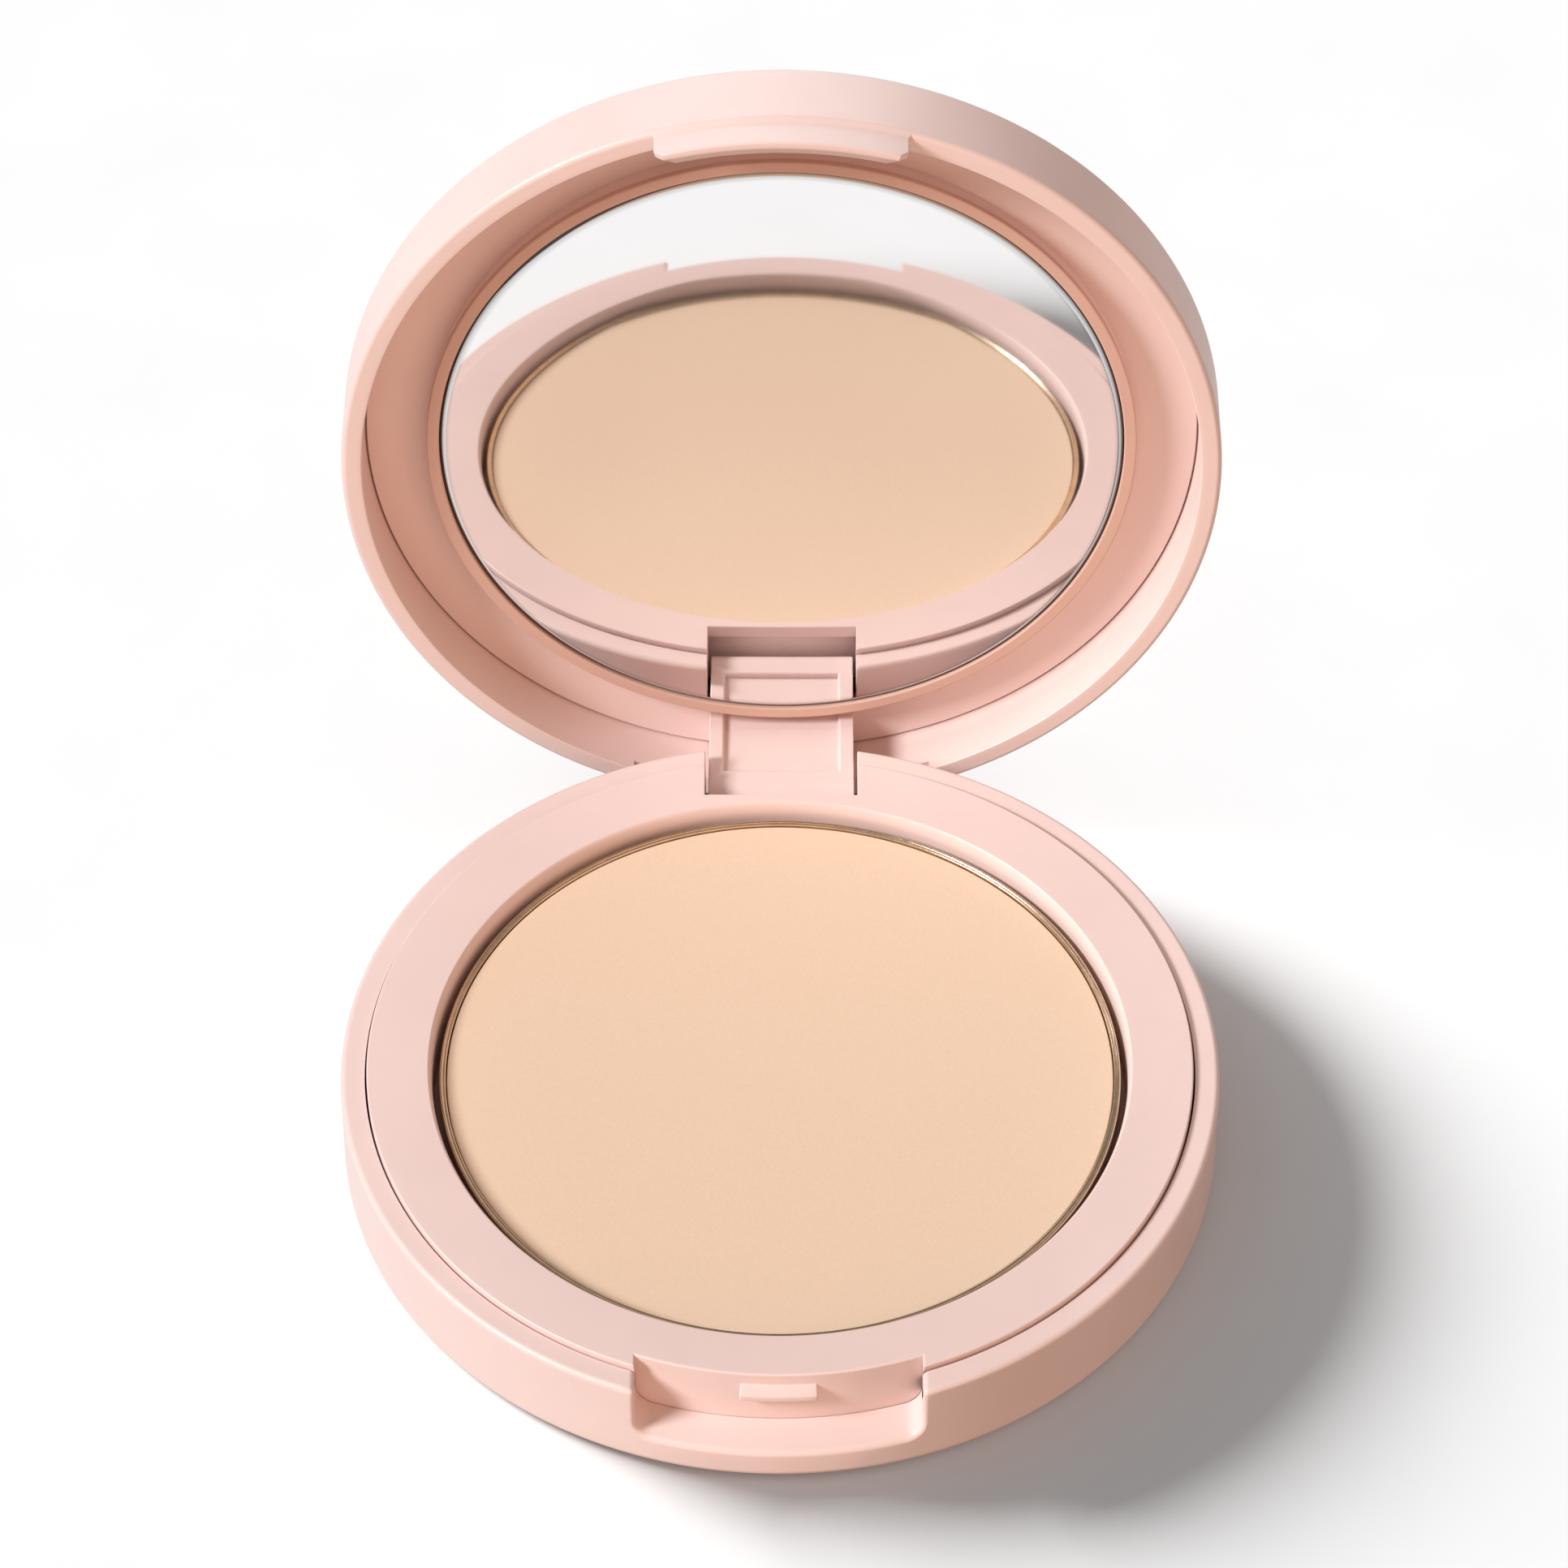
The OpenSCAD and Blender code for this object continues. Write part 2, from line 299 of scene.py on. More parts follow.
def lathe(name, outline, columns=288, matrix=None, closed=True):
    """Turns an outline of (radius, height) points about Z."""
    solid = Solid()
    ring = []
    for c in range(columns):
        angle = 360 * c / columns
        column = []
        for i, (r, z) in enumerate(outline):
            x, y = polar(r, angle)
            column.append((i, solid.point(x, y, z)))
        if closed:
            column.append((len(outline), column[0][1]))
        ring.append(column)
    for one, two in zip(ring, ring[1:] + ring[:1]):
        solid.strip(one, two)
    return solid.mesh(name, matrix=matrix)


def block(name, low, high, matrix=None):
    """A plain box, only used as a cutter or as a body that is cut further."""
    solid = Solid()
    across, along, up = zip(low, high)
    corner = [[[solid.point(x, y, z) for z in up] for y in along] for x in across]
    for flat in (corner[0], corner[1]):
        solid.face([flat[0][0], flat[0][1], flat[1][1], flat[1][0]])
    for y in (0, 1):
        solid.face([corner[0][y][0], corner[0][y][1], corner[1][y][1], corner[1][y][0]])
    for z in (0, 1):
        solid.face([corner[0][0][z], corner[0][1][z], corner[1][1][z], corner[1][0][z]])
    return solid.mesh(name, matrix=matrix)


def rod(name, radius, from_x, to_x, segments=64, end_round=0.0):
    """A round bar along X on the hinge axis."""
    solid = Solid()
    steps = 4 if end_round else 1
    outline = [(0, from_x)]
    if end_round:
        outline += arc(radius - end_round, from_x + end_round, end_round, end_round, -90, 0, steps)
        outline += arc(radius - end_round, to_x - end_round, end_round, end_round, 0, 90, steps)
    else:
        outline += [(radius, from_x), (radius, to_x)]
    outline += [(0, to_x)]
    ring = []
    for s in range(segments):
        a = 2 * math.pi * s / segments
        ring.append([
            (i, solid.point(x, HINGE_Y + r * math.cos(a), HINGE_Z + r * math.sin(a)))
            for i, (r, x) in enumerate(outline)
        ])
    for one, two in zip(ring, ring[1:] + ring[:1]):
        solid.strip(one, two)
    return solid.mesh(name)


def steps_between(start, end, most):
    """Evenly spaced angles from start to end, both included, no further apart than most."""
    count = max(1, math.ceil(abs(end - start) / most))
    return [start + (end - start) * i / count for i in range(count + 1)]


# ---------------------------------------------------------------- base shell

STEP = 1.5
CHEEK_STEPS = (0, 0.5, 1)
SLOT_REF = math.degrees(math.asin(SLOT_HALF_W / 36.5))
WARP_SPAN = 14.0


def slot_angle(radius, reference, nominal):
    """Angle from the rear at which a column meets a radius: it runs parallel at the slot's side."""
    if radius < 31.5:
        return nominal
    shift = math.degrees(math.asin(SLOT_HALF_W / radius)) - reference
    if nominal <= reference:
        return nominal + shift * nominal / reference
    return nominal + shift * max(0.0, 1 - (nominal - reference) / WARP_SPAN)


def rear_angle(reference, nominal):
    """The angle of a column near the slot, counted from the front, as a function of radius."""
    return lambda radius: 180 - slot_angle(radius, reference, nominal)


def notch_side(radius):
    """Angle from the front at which the notch's side wall meets a radius."""
    return math.degrees(math.asin(NOTCH_HALF_W / max(radius, NOTCH_R)))


def cheek_angle(radius, share):
    """Angle between the notch's side wall, share 0, and the end of its cheek, share 1."""
    return notch_side(radius) + (CHEEK_ANGLE - notch_side(radius)) * share


def notch_rim(degrees):
    """Height of the notch's floor at the outer wall; it rises round the corner to the side wall."""
    corner = math.degrees(NOTCH_CORNER / OUTER_R)
    into = degrees - (notch_side(OUTER_R) - corner)
    if into <= 0:
        return NOTCH_FLOOR_Z
    return NOTCH_FLOOR_Z + NOTCH_CORNER * (1 - math.sqrt(max(0.0, 1 - (into / corner) ** 2)))


def make_base_shell():
    solid = Solid()
    inner = NOTCH_R + NOTCH_SEAM
    rise = NOTCH_SLOPE * (OUTER_R - inner) / (OUTER_R - NOTCH_R)
    side_z = NOTCH_FLOOR_Z + NOTCH_CORNER
    foot = keyed("f", [(0, LABEL_T), (LABEL_R + 0.1, LABEL_T), (LABEL_R + 0.1, 0), (OUTER_R - FOOT_ROUND, 0)])
    foot += keyed("g", arc(OUTER_R - FOOT_ROUND, FOOT_ROUND, FOOT_ROUND, FOOT_ROUND, -80, 0, 6))
    foot += [("w0", OUTER_R, 2.2)]
    upper = [("w1", OUTER_R, side_z), ("w2", OUTER_R, 6.6), ("w3", OUTER_R, 8.0)]
    upper += keyed("e", arc(OUTER_R - EDGE_ROUND, LEDGE_Z - EDGE_ROUND, EDGE_ROUND, EDGE_ROUND, 0, 90, 6))
    upper += [("l0", SHELL_R, LEDGE_Z), ("i0", SHELL_R, COLLAR_UNDER_Z)]
    upper_keys = [k for k, _, _ in upper]
    floor = [("n", inner, SHELL_FLOOR), ("z", 0, SHELL_FLOOR)]

    def place(profile, angle_at):
        return [(key, solid.point(*polar(r, angle_at(r)), z)) for key, r, z in profile]

    # The notch, from the centre line to its side wall; one wide face lies below its round corner
    corner = math.degrees(NOTCH_CORNER / OUTER_R)
    edge = notch_side(OUTER_R)
    flat = steps_between(0, edge - corner, STEP)
    bend = [edge - corner * (1 - math.sin(math.radians(90 * i / 7))) for i in range(1, 8)]
    notch = []
    for degrees in flat + bend:
        z = notch_rim(degrees)
        mid = inner + 1.7
        mid_z = z + rise * (OUTER_R - mid) / (OUTER_R - inner)
        profile = [("w1", OUTER_R, z), ("m", mid, mid_z), ("c1", inner, z + rise)] + floor
        if degrees in flat or degrees == bend[-1]:
            profile = foot + profile
        notch.append(place(profile, lambda r, share=degrees / edge: share * notch_side(r)))
    start = len(flat) - 1
    low = [[(k, i) for k, i in notch[c] if k[0] in "fg" or k == "w0"] for c in (start, -1)]
    solid.strip(*low)
    solid.cap([(notch[start], ["w0"]), (notch[-1], ["w0"])] + [(c, ["w1"]) for c in notch[:start - 1:-1]])
    cheek_profile = foot + upper + [("c0", inner, COLLAR_UNDER_Z), ("c1", inner, side_z + rise)] + floor
    cheek = [place(cheek_profile, lambda r, share=share: cheek_angle(r, share)) for share in CHEEK_STEPS]
    solid.cap([(cheek[0], upper_keys), (cheek[0], ["c0", "c1"]), (notch[-1], ["m"])])

    # The plain wall, from the cheek to the hinge slot
    plain_profile = foot + upper + [("i1", SHELL_R, SHELL_FLOOR)] + floor
    rears = steps_between(180 - CHEEK_ANGLE, SLOT_REF + 1.5, STEP)
    plain = [place(plain_profile, rear_angle(SLOT_REF, rear)) for rear in rears]
    solid.cap([(cheek[-1], ["i0", "c0", "c1", "n"]), (plain[0], ["i1"])])

    # The slot's side and the sill
    sill_out = [("s0", OUTER_R, SILL_Z)]
    sill_in = [("s1", SHELL_R, SILL_Z)]
    side_profile = foot + sill_out + upper + sill_in + [("i1", SHELL_R, SHELL_FLOOR)] + floor
    side = place(side_profile, rear_angle(SLOT_REF, SLOT_REF))
    sill_profile = foot + sill_out + sill_in + [("i1", SHELL_R, SHELL_FLOOR)] + floor
    sill = [place(sill_profile, rear_angle(SLOT_REF, rear)) for rear in steps_between(SLOT_REF, 0, STEP)]
    solid.cap([(side, ["s0"] + upper_keys + ["s1"])])

    for columns in (notch, cheek, plain + [side], sill):
        for one, two in zip(columns, columns[1:]):
            solid.strip(one, two)
    solid.round_across(notch, "w1", NOTCH_EDGE)
    solid.round_edges(cheek[0], [k for k in upper_keys if k != "i0"], NOTCH_EDGE)
    solid.round_edges(side, ["s0"] + [k for k in upper_keys if k != "i0"], 0.12)
    solid.round_across(sill, "s0", 0.12)
    shell = solid.mesh("base_shell_visual", mirror_x=True)

    for side_sign in (-1, 1):
        low_x, high_x = sorted((side_sign * SLOT_HALF_W, side_sign * BOSS_HALF_W))
        boss = block("boss", (low_x, 30.4, SHELL_FLOOR - 0.2), (high_x, 36.1, COLLAR_UNDER_Z - 0.05))
        cup = lathe("cup", [(0, 0), (WELL_OUT_R + 0.15, 0), (WELL_OUT_R + 0.15, 12), (0, 12)], closed=False)
        boolean(boss, cup, "DIFFERENCE")
        limit = lathe("limit", [(0, 0), (SHELL_R + 0.3, 0), (SHELL_R + 0.3, 12), (0, 12)], closed=False)
        boolean(boss, limit, "INTERSECT")
        boolean(shell, boss, "UNION")
    boolean(shell, rod("bore", PIN_R, -OUTER_R, OUTER_R), "DIFFERENCE")
    shade(shell)
    return shell


# ---------------------------------------------------------------- inner tray


def make_inner_tray():
    solid = Solid()
    slot_r = math.hypot(SLOT_HALF_W, SLOT_FRONT_Y)
    slot_ref = math.degrees(math.asin(SLOT_HALF_W / slot_r))
    well = [("q0", 0, WELL_FLOOR_Z), ("q1", WELL_R, WELL_FLOOR_Z)]
    well += keyed("b", arc(WELL_R + BEVEL_W, COLLAR_Z - BEVEL_H, BEVEL_W, BEVEL_H, 180, 90, 10))
    outer = keyed("e", arc(COLLAR_R - 0.15, COLLAR_Z - 0.15, 0.15, 0.15, 90, 0, 4))
    rest = [("cw", WELL_OUT_R, COLLAR_UNDER_Z), ("cb", WELL_OUT_R, TRAY_Z), ("c0", 0, TRAY_Z)]
    top = [("sr", slot_r, COLLAR_Z), ("a0", NOTCH_R, COLLAR_Z)]
    under = [("cu", COLLAR_R, COLLAR_UNDER_Z), ("au", NOTCH_R, COLLAR_UNDER_Z)]
    apron = [("ab", NOTCH_R, NOTCH_FLOOR_Z), ("aj", NOTCH_R - APRON_T, NOTCH_FLOOR_Z)]
    inside = [("ai", NOTCH_R - APRON_T, COLLAR_UNDER_Z)]

    def place(profile, angle_at):
        return [(key, solid.point(*polar(r, angle_at(r)), z)) for key, r, z in profile]

    notch_profile = well + top + [("au", NOTCH_R, COLLAR_UNDER_Z)] + apron + inside + rest
    notch = [place(notch_profile, lambda r, a=a: a) for a in steps_between(0, notch_side(NOTCH_R), STEP)]
    cheek_profile = well + top + outer + under + apron + inside + rest
    cheek = [place(cheek_profile, lambda r, share=share: cheek_angle(r, share)) for share in CHEEK_STEPS]
    solid.cap([(cheek[0], ["a0"] + [k for k, _, _ in outer] + ["cu", "au"])])
    plain_profile = well + top + outer + under + inside + rest
    rears = steps_between(180 - CHEEK_ANGLE, slot_ref + 1.5, STEP)
    plain = [place(plain_profile, rear_angle(slot_ref, rear)) for rear in rears]
    solid.cap([(cheek[-1], ["au", "ab", "aj", "ai"])])

    side_profile = well + top + outer + under + inside + [("sd", slot_r, COLLAR_UNDER_Z)] + rest
    side = place(side_profile, rear_angle(slot_ref, slot_ref))
    solid.cap([(side, ["sr", "a0"] + [k for k, _, _ in outer] + ["cu", "au", "ai", "sd"])])
    bridge = []
    for rear in steps_between(slot_ref, 0, STEP):
        edge_r = SLOT_FRONT_Y / math.cos(math.radians(rear))
        column = []
        for key, r, z in well + [("sr", edge_r, COLLAR_Z), ("sd", edge_r, COLLAR_UNDER_Z)] + rest:
            column.append((key, solid.point(*polar(r, 180 - rear), z)))
        bridge.append(column)

    for columns in (notch, cheek, plain + [side], bridge):
        for one, two in zip(columns, columns[1:]):
            solid.strip(one, two)
    solid.round_across(notch, "a0", 0.2)
    solid.round_edges(cheek[0], ["a0"] + [k for k, _, _ in outer], 0.2)
    solid.round_across(bridge, "sr", 0.09)
    solid.round_edges(side, ["sr", "a0"] + [k for k, _, _ in outer], 0.09)
    tray = solid.mesh("inner_tray_visual", mirror_x=True)
    shade(tray)
    return tray


def make_catch_nub():
    """The small bar that the tab snaps over: flat front, sloping top, rounded edges."""
    solid = Solid()
    front_r = NOTCH_R + NUB_REACH
    back_r = NOTCH_R - 0.3
    low_z = NUB_TOP_Z - NUB_H
    profile = [
        ("b0", back_r, low_z),
        ("b1", front_r, low_z),
        ("t1", front_r, NUB_TOP_Z - NUB_RAMP),
        ("t0", NOTCH_R, NUB_TOP_Z),
        ("t2", back_r, NUB_TOP_Z),
        ("b2", back_r, low_z),
    ]
    half = math.degrees(math.asin(NUB_HALF_W / NOTCH_R))
    columns = [
        [(k, solid.point(*polar(r, a), z)) for k, r, z in profile]
        for a in steps_between(-half, half, STEP)
    ]
    for one, two in zip(columns, columns[1:]):
        solid.strip(one, two)
    for end in (columns[0], columns[-1]):
        solid.cap([(end, ["b0", "b1", "t1", "t0", "t2"])])
        solid.round_edges(end, ["b0", "b1", "t1", "t0"], NUB_EDGE)
    solid.round_across(columns, "b1", NUB_EDGE)
    solid.round_across(columns, "t1", NUB_EDGE)
    nub = solid.mesh("catch_nub_visual")
    shade(nub)
    return nub


# ---------------------------------------------------------------- pan and powder


def make_pan():
    """Pressed sheet-metal pan with a curled rim: an outer bead, a shallow groove and an inner lip."""
    bead = 0.17
    outline = [(0, PAN_Z)]
    outline += arc(PAN_R - 0.8, PAN_Z + 0.8, 0.8, 0.8, -90, 0, 6)
    outline += arc(PAN_R - bead, PAN_TOP_Z - bead, bead, bead, 0, 150, 8)
    outline += arc(PAN_R - 0.45, PAN_TOP_Z - bead - 0.02, 0.12, 0.14, 60, 180, 6)
    outline += [(PAN_R - 0.57, PAN_TOP_Z - 0.6), (PAN_R - 0.3, PAN_TOP_Z - 0.8)]
    outline += arc(PAN_R - 0.8, PAN_Z + 0.8, 0.5, 0.5, 0, -90, 4)
    outline += [(0, PAN_Z + 0.3)]
    pan = lathe("powder_pan_visual", outline, closed=False)
    shade(pan, 50)
    return pan


def make_powder():
    """The pressed cake, very slightly crowned, with a soft edge against the rim."""
    crown = 0.04
    outline = [(0, PAN_Z + 0.3), (PAN_R - 1, PAN_Z + 0.3), (POWDER_R, PAN_Z + 1)]
    outline += arc(POWDER_R - 0.12, POWDER_Z - crown - 0.12, 0.12, 0.12, 0, 90, 5)
    outline += [(r, POWDER_Z - crown * (r / POWDER_R) ** 2) for r in (27, 24, 20, 15, 10, 5, 2)]
    outline += [(0, POWDER_Z)]
    powder = lathe("powder_cake_visual", outline, closed=False)
    shade(powder)
    return powder


# ---------------------------------------------------------------- lid


def make_lid_shell():
    """The lid with its catch tab: the rim's rounding runs across the tab as a soft ridge."""
    solid = Solid()
    inside = keyed("i", [(LID_R, LINER_TOP_Z), (LID_R, 12), (LID_R, RIM_Z + 0.12)])
    inside += keyed("j", arc(LID_R + 0.12, RIM_Z + 0.12, 0.12, 0.12, 180, 270, 4)[1:])
    inside += [("k", TAB_IN_R, RIM_Z)]
    edge = keyed("e", arc(LID_OUT_R - EDGE_ROUND, RIM_Z + EDGE_ROUND, EDGE_ROUND, EDGE_ROUND, -90, 0, 8))
    outside = [("w", LID_OUT_R, 11.5)]
    outside += keyed("r", arc(LID_OUT_R - LID_ROUND, LID_TOP_Z - LID_ROUND, LID_ROUND, LID_ROUND, 0, 90, 8))
    outside += [("t0", 30, LID_TOP_Z), ("t1", 0, LID_TOP_Z), ("u1", 0, LINER_TOP_Z), ("u0", 33, LINER_TOP_Z)]
    outside += [("end", LID_R, LINER_TOP_Z)]
    ridge = [(0.0, -0.5), (0.03, -0.32), (0.09, -0.16), (0.16, -0.02), (0.24, 0.1)]
    ridge = keyed("s", [(TAB_OUT_R + dr, RIM_Z + dz) for dr, dz in ridge])

    def place(profile, degrees):
        return [(key, solid.point(*polar(r, degrees), z)) for key, r, z in profile]

    cut_angle = math.degrees(TAB_CUT / TAB_OUT_R)
    fade = 1.2
    tab = []
    for a in steps_between(0, TAB_ANGLE - cut_angle - fade, STEP) + [TAB_ANGLE - cut_angle, TAB_ANGLE]:
        lift = TAB_CUT * max(0.0, (a - (TAB_ANGLE - cut_angle)) / cut_angle)
        reach = BEAD_REACH * min(1.0, max(0.0, (TAB_ANGLE - cut_angle - a) / fade))
        tongue = [
            ("b2", TAB_IN_R, min(BEAD_Z + BEAD_H + 0.7 + lift, RIM_Z - 0.1)),
            ("b1", TAB_IN_R - reach, BEAD_Z + BEAD_H + lift),
            ("b0", TAB_IN_R - reach, BEAD_Z + lift),
            ("x1", TAB_OUT_R - TAB_END_T, TAB_END_Z + lift),
            ("x0", TAB_OUT_R, TAB_END_Z + lift),
        ]
        tab.append(place(inside + tongue + ridge + edge[5:] + outside, a))
    rim = [place(inside + edge + outside, a) for a in steps_between(TAB_ANGLE, 180, 1.25)]
    section = ["k", "b2", "b1", "b0", "x1", "x0"] + [k for k, _, _ in ridge] + ["e5"]
    solid.cap([(tab[-1], section), (rim[0], ["e4", "e3", "e2", "e1", "e0"])])
    for columns in (tab, rim):
        for one, two in zip(columns, columns[1:]):
            solid.strip(one, two)
    solid.round_across(tab, "x0", TAB_EDGE)
    solid.round_across(tab, "x1", TAB_EDGE)
    solid.round_edges(tab[-1], ["b0", "x1", "x0", "s0", "s1", "s2"], TAB_EDGE)
    shell = solid.mesh("lid_shell_visual", mirror_x=True)
    relief = rod("relief", RELIEF_R, -RELIEF_HALF_W, RELIEF_HALF_W, segments=160)
    boolean(shell, relief, "DIFFERENCE")
    shade(shell)
    shell.data.transform(Matrix.Scale(MM, 4) @ OPENED @ Matrix.Scale(1 / MM, 4))
    return shell


def make_lid_liner():
    plinth_r = BEZEL_R + PLINTH_W
    outline = [(0, LID_FLOOR_Z), (BEZEL_R, LID_FLOOR_Z), (BEZEL_R, PLINTH_Z), (plinth_r, PLINTH_Z)]
    outline += [(plinth_r, LID_FLOOR_Z)]
    outline += arc(LINER_R - 0.1, LID_FLOOR_Z + 0.1, 0.1, 0.1, -90, 0, 3)
    outline += [(LINER_R, LINER_TOP_Z), (0, LINER_TOP_Z)]
    liner = lathe("lid_liner_visual", outline, closed=False)
    boolean(liner, make_lug(), "UNION")
    boolean(liner, rod("bore", PIN_R + 0.04, -10, 10), "DIFFERENCE")
    shade(liner)
    liner.data.transform(Matrix.Scale(MM, 4) @ OPENED @ Matrix.Scale(1 / MM, 4))
    return liner


def make_lug():
    """Two arms and a bar round the pin, with a shallow pocket between the arms."""
    solid = Solid()
    root_z = LID_FLOOR_Z + 0.3
    front_y = HINGE_Y - BARREL_R
    meet = math.degrees(math.acos((LUG_BACK_Y - HINGE_Y) / BARREL_R))
    barrel = arc(HINGE_Y, HINGE_Z, BARREL_R, BARREL_R, 180, 360 + meet, 40)
    bar_z = HINGE_Z + LUG_BAR_H
    back = keyed("b", barrel) + keyed("k", [(LUG_BACK_Y, root_z)])
    arm = keyed("a", [(front_y, root_z), (front_y, bar_z)]) + back
    floor_y = front_y + LUG_POCKET
    pocket = keyed("p", [(floor_y, root_z), (floor_y, bar_z)])
    middle = pocket + [("a1", front_y, bar_z)] + back

    def place(profile, x):
        return [(k, solid.point(x, y, z)) for k, y, z in profile]

    inner_x = LUG_HALF_W - LUG_ARM_W
    end = place(arm, LUG_HALF_W)
    arm_in = place(arm, inner_x)
    pocket_in = place(middle, inner_x)
    centre = place(middle, 0)
    for one, two in ((end, arm_in), (pocket_in, centre)):
        solid.strip(one + [("top", one[0][1])], two + [("top", two[0][1])])
    solid.face([i for _, i in end])
    solid.cap([(arm_in, ["a0", "a1"]), (pocket_in, ["p1", "p0"])])
    solid.round_edges(end, [k for k, _ in end], 0.13)
    solid.round_edges(arm_in, ["a0", "a1"], POCKET_EDGE)
    solid.round_across([pocket_in, centre], "a1", POCKET_EDGE)
    return solid.mesh("lug", mirror_x=True)


def make_bezel():
    top = BEZEL_R + BEZEL_W
    outline = [(BEZEL_R, PLINTH_Z)]
    outline += arc(BEZEL_R + BEZEL_ROUND, BEZEL_Z + BEZEL_ROUND, BEZEL_ROUND, BEZEL_ROUND, 180, 270, 5)
    outline += arc(top - BEZEL_ROUND, BEZEL_Z + BEZEL_ROUND, BEZEL_ROUND, BEZEL_ROUND, -90, 0, 5)
    outline += [(top, PLINTH_Z)]
    bezel = lathe("mirror_bezel_visual", outline, matrix=OPENED)
    shade(bezel)
    return bezel


def make_mirror():
    """Glass with a narrow ground bevel round its edge."""
    outline = [(0, MIRROR_Z), (20, MIRROR_Z), (MIRROR_R - MIRROR_BEVEL, MIRROR_Z)]
    outline += [(MIRROR_R - 0.1, MIRROR_Z + 0.18), (MIRROR_R, MIRROR_Z + 0.28)]
    outline += [(MIRROR_R, BACKING_Z), (0, BACKING_Z)]
    mirror = lathe("mirror_glass_visual", outline, matrix=OPENED, closed=False)
    shade(mirror)
    return mirror


# ---------------------------------------------------------------- materials


def new_material(name):
    material = bpy.data.materials.new(name)
    material.use_nodes = True
    tree = material.node_tree
    return material, tree, tree.nodes["Principled BSDF"]


def noise(tree, scale, detail=4.0, roughness=0.5):
    coords = tree.nodes.new("ShaderNodeTexCoord")
    texture = tree.nodes.new("ShaderNodeTexNoise")
    texture.inputs["Scale"].default_value = scale
    texture.inputs["Detail"].default_value = detail
    texture.inputs["Roughness"].default_value = roughness
    tree.links.new(coords.outputs["Object"], texture.inputs["Vector"])
    return texture.outputs["Fac"]


def ramp(tree, value, stops):
    """A colour ramp; stops are (position, (r, g, b))."""
    node = tree.nodes.new("ShaderNodeValToRGB")
    elements = node.color_ramp.elements
    while len(elements) < len(stops):
        elements.new(0.5)
    for element, (position, colour) in zip(elements, stops):
        element.position = position
        element.color = (*colour, 1)
    tree.links.new(value, node.inputs["Fac"])
    return node.outputs["Color"]


def map_range(tree, value, low, high, to_low, to_high):
    node = tree.nodes.new("ShaderNodeMapRange")
    for name, number in zip(("From Min", "From Max", "To Min", "To Max"), (low, high, to_low, to_high)):
        node.inputs[name].default_value = number
    tree.links.new(value, node.inputs["Value"])
    return node.outputs["Result"]


def bump(tree, shader, height, distance, strength=1.0):
    node = tree.nodes.new("ShaderNodeBump")
    node.inputs["Distance"].default_value = distance
    node.inputs["Strength"].default_value = strength
    tree.links.new(height, node.inputs["Height"])
    tree.links.new(node.outputs["Normal"], shader.inputs["Normal"])


def two_tone(tree, value, colour, dark, light):
    """A tint that drifts between a darker and a lighter share of one colour."""
    dark_tone, light_tone = [tuple(min(1.0, c * share) for c in colour) for share in (dark, light)]
    return ramp(tree, value, [(0.3, dark_tone), (0.7, light_tone)])


def satin_plastic(name, colour, roughness=0.42):
    """Moulded plastic with a fine sand-blasted grain and faint colour drift."""
    material, tree, shader = new_material(name)
    drift = two_tone(tree, noise(tree, 180, 3), colour, 0.985, 1.015)
    tree.links.new(drift, shader.inputs["Base Color"])
    rough = map_range(tree, noise(tree, 900, 2), 0.3, 0.7, roughness - 0.03, roughness + 0.03)
    tree.links.new(rough, shader.inputs["Roughness"])
    shader.inputs["Specular IOR Level"].default_value = 0.5
    bump(tree, shader, noise(tree, 9000, 3, 0.6), 4e-6, 0.5)
    return material


PINK_PLASTIC = satin_plastic("pink_plastic_satin", (0.825, 0.644, 0.608))
TAN_PLASTIC = satin_plastic("tan_plastic_matte", (0.66, 0.42, 0.345), 0.6)


def pressed_powder():
    material, tree, shader = new_material("pressed_powder_matte")
    speck = two_tone(tree, noise(tree, 5200, 5, 0.7), (0.83, 0.625, 0.465), 0.95, 1.03)
    tree.links.new(speck, shader.inputs["Base Color"])
    shader.inputs["Roughness"].default_value = 0.95
    shader.inputs["Specular IOR Level"].default_value = 0.15
    shader.inputs["Sheen Weight"].default_value = 0.1
    shader.inputs["Sheen Roughness"].default_value = 0.6
    bump(tree, shader, noise(tree, 6500, 5, 0.7), 12e-6, 0.5)
    return material


def champagne_metal():
    material, tree, shader = new_material("champagne_metal_bright")
    tint = ramp(tree, noise(tree, 700, 2), [(0.3, (0.7, 0.56, 0.4)), (0.7, (0.8, 0.66, 0.5))])
    tree.links.new(tint, shader.inputs["Base Color"])
    shader.inputs["Metallic"].default_value = 1.0
    rough = map_range(tree, noise(tree, 2500, 2), 0.3, 0.7, 0.18, 0.26)
    tree.links.new(rough, shader.inputs["Roughness"])
    return material


